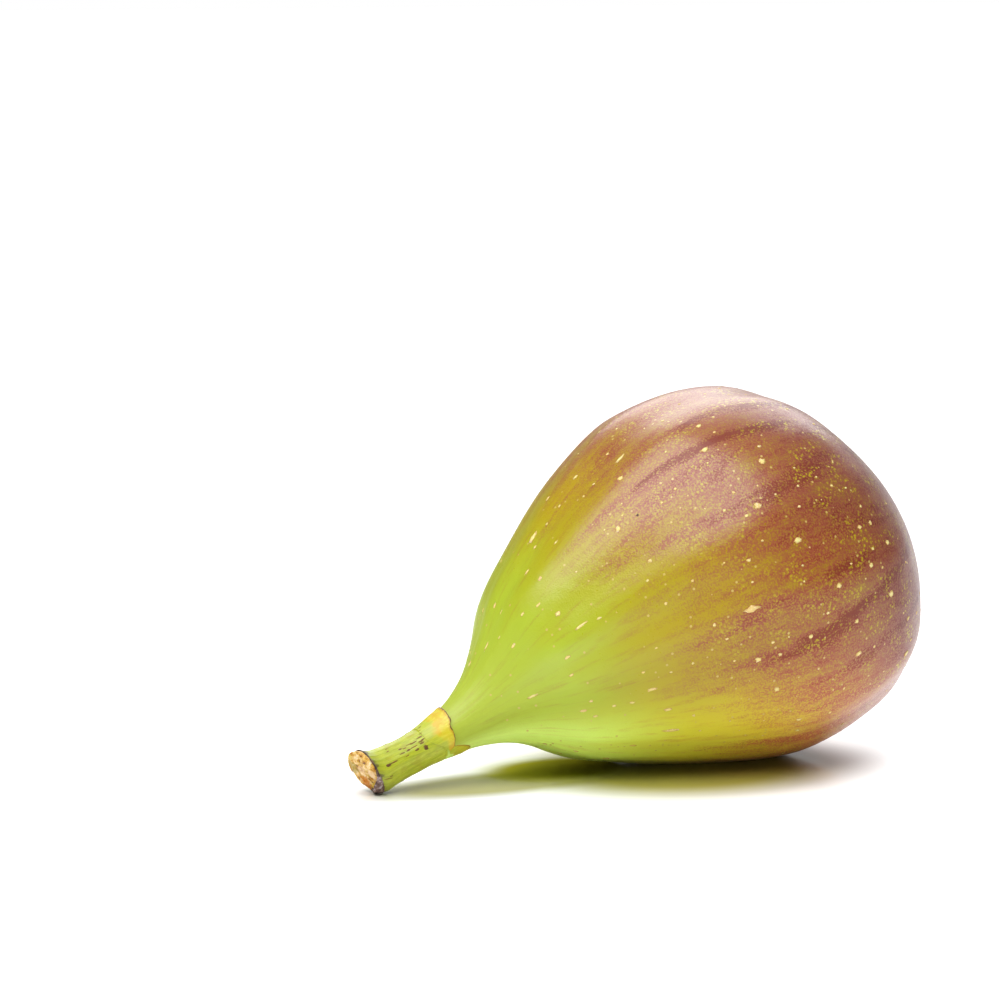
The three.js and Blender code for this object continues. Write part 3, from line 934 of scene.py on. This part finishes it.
def makeBract(name, bract, material):
    first, last = bract["edge"][0][0], bract["edge"][-1][0]
    columns = round((last - first) / bracts["stepDegrees"])
    bm = bmesh.new()
    course, tint = addLayers(bm)
    made = bmesh.ops.create_grid(bm, x_segments=columns, y_segments=bracts["rows"], size=1)
    for vert in made["verts"]:
        degrees = mixValues(first, last, (vert.co.x + 1) / 2)
        share = (vert.co.y + 1) / 2  # 0 at the base, 1 at the free edge
        angle = radians(degrees)
        torn = noiseAt(degrees / 9, 0, 3)
        torn += 0.7 * abs(noiseAt(degrees / 3.2, 5, 3))
        edge = plainTable(bract["edge"], degrees) + bracts["torn"] * torn
        base = plainTable(bract["base"], degrees)
        along = mixValues(base, edge, share)
        ends = smoothStep(min(degrees - first, last - degrees), 0, 9)
        firstMerged, lastMerged = bract["merged"]
        merged = smoothStep(min(degrees - firstMerged, lastMerged - degrees), -6, 6)
        sunk = bracts["sunk"] * merged + 0.02
        lift = mixValues(-sunk, bract["proud"], smoothStep(share, 0, 0.8) * (0.6 + 0.4 * ends))
        lift += 0.03 * wander(angle, along, 3, 0.9, 2) * share + 0.05 * smoothStep(share, 0.9, 1) * abs(torn)
        vert[course] = (cos(angle), sin(angle), along)
        vert[tint] = (share, 1 - ends, bract["green"])
        vert.co = onAxis(along, angle, footRadius(along) + lift)
    finishPiece(bm, name, material, "bract_collar", thickness=bracts["thickness"])


def bractMaterial():
    finish = Finish("bracts", bracts["colours"])
    course, place = finish.course(), finish.place()
    share, _, green = finish.tint()
    leaf, _, _ = stalkGreen(finish, course)
    lines = finish.streaks(course, (7, 7, 0.8), 1.5, 3, 0.6)
    patch = finish.streaks(course, (1.6, 1.6, 0.7), 1.3, 2)
    yellow = finish.stain("yellow", "paleYellow", lines, 0.35, 0.65)
    yellow = finish.stain(yellow, "golden", patch, 0.48, 0.62, 0.8)
    leaf = finish.mix(finish.times(share, 0.6), leaf, "greenEdge")
    colour = finish.mix(green, yellow, leaf)
    colour = finish.stain(colour, leaf, finish.plus(share, finish.swing(patch, 0.1)), 0.62, 0.3)
    rough = finish.noise(place, 1900, 3)
    near = finish.plus(share, finish.swing(rough, 0.02))
    colour = finish.stain(colour, "dryEdge", near, 0.88, 0.96, 0.55)
    brown = finish.times(finish.ranged(near, 0.965, 0.99), finish.ranged(green, 0, 0.7, 1, 0.35))
    colour = finish.mix(brown, colour, "tornEdge")
    finish.set(Base_Color=colour, Roughness=finish.ranged(rough, 0.3, 0.7, 0.36, 0.5))
    finish.set(Subsurface_Weight=0.08, Subsurface_Scale=0.0008)
    finish.set(Normal=finish.bump(lines, 0.3, 0.08, finish.bump(rough, 0.25, 0.05)))
    return finish.material


bractFinish = bractMaterial()
for bractName, bractShape in bracts["shapes"].items():
    makeBract(bractName, bractShape, bractFinish)

rim = {
    "section": [  # radius, along: round the torn ring of dry bark, where it is thin
        (2.62, 80.62), (2.84, 80.66), (2.95, 80.76), (2.98, 80.88), (2.94, 81.0), (2.84, 81.08), (2.7, 81.06),
        (2.6, 80.98), (2.55, 80.84), (2.56, 80.7),
    ],
    "middle": 80.86,
    "sides": 180,
    "ragged": 0.1,
    "thin": 0.55,  # away from the swollen place it is this much narrower
    # the swollen place beneath: angle and half width in degrees, how much longer, thicker and further along
    "lump": (-140, 34, 2.2, 0.2, 0.22),
    "bark": [(0.36, (0.02, 0.01, 0.008)), (0.5, (0.05, 0.02, 0.014)), (0.62, (0.14, 0.07, 0.035))],
    "lumpBark": [
        (0.36, (0.03, 0.014, 0.012)), (0.47, (0.11, 0.05, 0.042)), (0.56, (0.2, 0.12, 0.1)),
        (0.66, (0.4, 0.33, 0.36)),
    ],
    "mossy": (0.13, 0.11, 0.015),
}


def rimMoved(along, angle, radius):
    middle, width, longer, thicker, further = rim["lump"]
    lump = exp(-(degreesPast(angle, middle) / width) ** 2)
    out = smoothStep(radius, 2.56, 2.9)
    rise = 0.05 * wander(angle, along, 2.4, 1.2, 3) + 0.05 * wander(angle, along, 9, 0.5)
    rise += lump * (thicker * out + 0.12 * wander(angle, along, 6, 0.35, 5))
    front = smoothStep(along, 80.66, 81.05)
    ragged = wander(angle, 0, 2.2, 1, 7) + 0.9 * wander(angle, 0, 11, 1, 2)
    ragged *= rim["ragged"] * (0.5 + 0.5 * front)
    thin = rim["thin"] + (1 - rim["thin"]) * min(1, 2 * lump)
    along = rim["middle"] + (along - rim["middle"]) * (thin + longer * lump) + further * lump + ragged
    along += 0.08 * wander(angle, 0, 1.2, 1, 4)
    return along, radius + rise * out


def makeRim(material):
    points = smoothOutline(rim["section"] + rim["section"][:1], 0.06)[:-1]
    bm = turnOutline(points, rim["sides"], closed=True)
    layOnAxis(bm, rimMoved)
    finishPiece(bm, "stalkRim", material, "stalk")


def rimMaterial():
    finish = Finish("stalkRim")
    place = finish.place()
    lumps = finish.noise(place, 1500, 3, 0.6)
    towards = radians(rim["lump"][0])
    lumpWay = (cos(towards), sin(towards), 0)
    facing = finish.node("VectorMath", {0: finish.course(), 1: lumpWay}, operation="DOT_PRODUCT")
    bark, swollen = finish.ramp(lumps, rim["bark"]), finish.ramp(lumps, rim["lumpBark"])
    colour = finish.stain(bark, swollen, facing.outputs["Value"], 0.55, 0.85)
    colour = finish.stain(colour, rim["mossy"], finish.noise(place, 620, 2), 0.56, 0.68, 0.6)
    finish.set(Base_Color=colour, Roughness=0.55, Normal=finish.bump(lumps, 0.8, 0.25))
    return finish.material


makeRim(rimMaterial())

cutFace = {
    "outline": [  # radius, along
        (2.5, 80.5), (2.68, 80.66), (2.76, 80.9), (2.8, 81.14), (2.74, 81.38), (2.52, 81.54), (2.1, 81.6),
        (1.2, 81.63), (0, 81.6),
    ],
    "radius": 2.8,
    "sides": 150,
    "spacing": 0.07,
    "flakes": 0.2,
    "stains": [  # angle, how far out and size in shares of the radius, strength, colour
        (70, 0.62, 0.34, 0.6, (0.3, 0.24, 0.03)),
        (172, 0.55, 0.32, 0.9, (0.6, 0.2, 0.002)),
        (-145, 0.8, 0.24, 0.8, (0.62, 0.42, 0.02)),
        (-172, 0.92, 0.13, 0.9, (0.035, 0.02, 0.008)),
        (35, 0.85, 0.2, 0.7, (0.6, 0.42, 0.05)),
        (-95, 0.7, 0.22, 0.6, (0.82, 0.62, 0.42)),
        (-20, 0.1, 0.2, 0.5, (0.8, 0.58, 0.38)),
    ],
    "slant": (0.55, 50, 80.4, 81.4),  # height, towards this angle, growing over this stretch
    "cork": [
        (0.34, (0.06, 0.02, 0.004)), (0.40, (0.34, 0.12, 0.004)), (0.48, (0.58, 0.32, 0.03)),
        (0.56, (0.68, 0.45, 0.12)), (0.66, (0.86, 0.68, 0.42)),
    ],
}


def cutMoved(along, angle, radius):
    x, y = radius * cos(angle), radius * sin(angle)
    onFace = smoothStep(along, 81.1, 81.5)
    flake = noiseAt(x * 0.9 + y * 0.5, (y - x * 0.5) * 2.4, 4)  # torn mostly one way
    flake += 0.5 * noiseAt(x * 2.4, y * 2.4, 9)
    flake += 0.25 * abs(noiseAt(x * 6, y * 6, 2))
    reach = radius / cutFace["radius"]
    height, towards, first, last = cutFace["slant"]
    slant = height * cos(angle - radians(towards)) * reach * smoothStep(along, first, last)
    ragged = 0.08 * cos(3 * angle + 1.1) + 0.1 * wander(angle, along, 3.2, 0.6, 1)
    along += cutFace["flakes"] * flake * onFace + slant
    return along, radius + ragged * reach * smoothStep(radius, 1.2, 2.4)


def cutTint(along, angle, radius):
    # the place on the face, in shares of its radius
    out = radius / cutFace["radius"]
    return (out * cos(angle), out * sin(angle), 0)


def makeCutFace(material):
    points = smoothOutline(cutFace["outline"], cutFace["spacing"])
    bm = turnOutline([(0, 80.45), *points], cutFace["sides"])
    layOnAxis(bm, cutMoved, cutTint)
    finishPiece(bm, "stalkCutFace", material, "stalk")


def cutMaterial():
    finish = Finish("stalkCutFace")
    place = finish.place()
    flakes = finish.noise(place, 1200, 5, 0.66, 0.6)
    colour = finish.ramp(flakes, cutFace["cork"])
    across, up, _ = finish.tint()
    onFace = finish.node("CombineXYZ", {0: across, 1: up}).outputs[0]
    wavy = finish.swing(finish.noise(place, 900, 4, 0.65), 0.4, False)
    for degrees, out, size, share, shade in cutFace["stains"]:
        angle = radians(degrees)
        centre = (out * cos(angle), out * sin(angle), 0)
        away = finish.node("VectorMath", {0: onFace, 1: centre}, operation="DISTANCE").outputs["Value"]
        away = finish.plus(away, finish.times(wavy, size * 1.6))
        colour = finish.stain(colour, shade, away, size * 1.2, size * 0.7, share)
    finish.set(Base_Color=colour, Roughness=0.55, Subsurface_Weight=0.1, Subsurface_Scale=0.0008)
    fibres = finish.noise(place, 3600, 3, 0.6)
    finish.set(Normal=finish.bump(flakes, 0.9, 0.45, finish.bump(fibres, 0.6, 0.1)))
    return finish.material


makeCutFace(cutMaterial())

studio = {
    "lamps": {  # azimuth, elevation, distance and size in metres, power in watts, seen in reflections
        "softbox": (-62, 64, 0.9, (1.1, 0.85), 15.8, True),
        "backLight": (147, 40, 1.1, (0.98, 0.88), 9.6, True),
        "frontFill": (-12, 10, 1.0, (1.4, 0.4), 1.3, False),
    },
    "glow": (125, 0),  # azimuth and elevation of the bright side of the surroundings
    "glowRange": (0.75, 0.98, 0.05, 0.6),  # from this cosine to this one, and the strengths there
    "floor": 0.9,
    "tableLight": 0.62,  # the table shines by itself, but not close to the fig
    "farLight": 1.1,  # the same a metre away
    "paintedShadows": [  # painted shadows near the fig: middle and size, in millimetres, and colour of the table there; the table's glow fades there too
        ((-9, -5), (23, 19.5), (0.48, 0.44, 0.11)),
        ((-34, -2), (21, 8), (0.4, 0.385, 0.11)),
        ((-23, 3), (12, 8), (0.34, 0.31, 0.03)),
    ],
    "unreflectingShade": ((-24, 2), (15, 12)),  # middle and size of the place under the fig where the table reflects nothing, to deepen the painted shadow
}


def makeFloor():
    bm = bmesh.new()
    bmesh.ops.create_grid(bm, x_segments=1, y_segments=1, size=6)
    mesh = bpy.data.meshes.new("floor")
    bm.to_mesh(mesh)
    floor = addObject("floor", mesh)
    finish = Finish("floor")
    place = finish.place()

    def awayFrom(middle, size):
        # how far a place is from the middle of an ellipse, where its edge is at 1
        local = finish.node("Mapping", {
            "Vector": place, "Location": (-middle[0] / size[0], -middle[1] / size[1], 0),
            "Scale": (1 / size[0] / mm, 1 / size[1] / mm, 0),
        })
        return finish.node("VectorMath", {0: local.outputs[0]}, operation="LENGTH").outputs["Value"]

    colour = (studio["floor"],) * 3
    far = awayFrom((0, 0), (1000, 1000))
    light = finish.ranged(far, 0.5, 1.2, studio["tableLight"], studio["farLight"])
    # Painted shadow round the fig: the table is tinted a darker olive there, and its glow fades out.
    for middle, size, shade in studio["paintedShadows"]:
        away = awayFrom(middle, size)
        colour = finish.stain(colour, shade, away, 1.05, 0.55)
        light = finish.times(light, finish.ranged(away, 0.85, 1.4))
    finish.set(
        Base_Color=colour, Roughness=0.1, Emission_Color=(1, 1, 1, 1), Emission_Strength=light,
        Specular_IOR_Level=finish.ranged(awayFrom(*studio["unreflectingShade"]), 0.6, 1.15, 0, 0.5),
    )
    mesh.materials.append(finish.material)


def makeLamps():
    centre = Vector((0, 0, 0.02))
    for name, (azimuth, elevation, distance, size, power, reflected) in studio["lamps"].items():
        data = bpy.data.lights.new(name, "AREA")
        data.shape = "RECTANGLE"
        data.size, data.size_y = size
        data.energy = power
        way = wayTo(azimuth, elevation)
        lamp = addObject(name, data)
        lamp.location = centre + way * distance
        lamp.rotation_euler = way.to_track_quat("Z", "Y").to_euler()
        lamp.visible_camera = False
        lamp.visible_glossy = reflected


def makeSurroundings():
    sky = Finish("studio", world=True)
    way = sky.node("TexCoord").outputs["Generated"]
    facing = sky.node("VectorMath", {0: way, 1: wayTo(*studio["glow"])}, operation="DOT_PRODUCT")
    glow = sky.ranged(facing.outputs["Value"], *studio["glowRange"])
    seen = sky.node("LightPath").outputs["Is Camera Ray"]  # the background itself is plain white
    sky.set(Color=(1, 1, 1, 1), Strength=sky.math("MAXIMUM", glow, seen))
    bpy.context.scene.world = sky.material
    bpy.context.scene.view_settings.view_transform = "Standard"


makeFloor()
makeLamps()
makeSurroundings()
print("studio made")
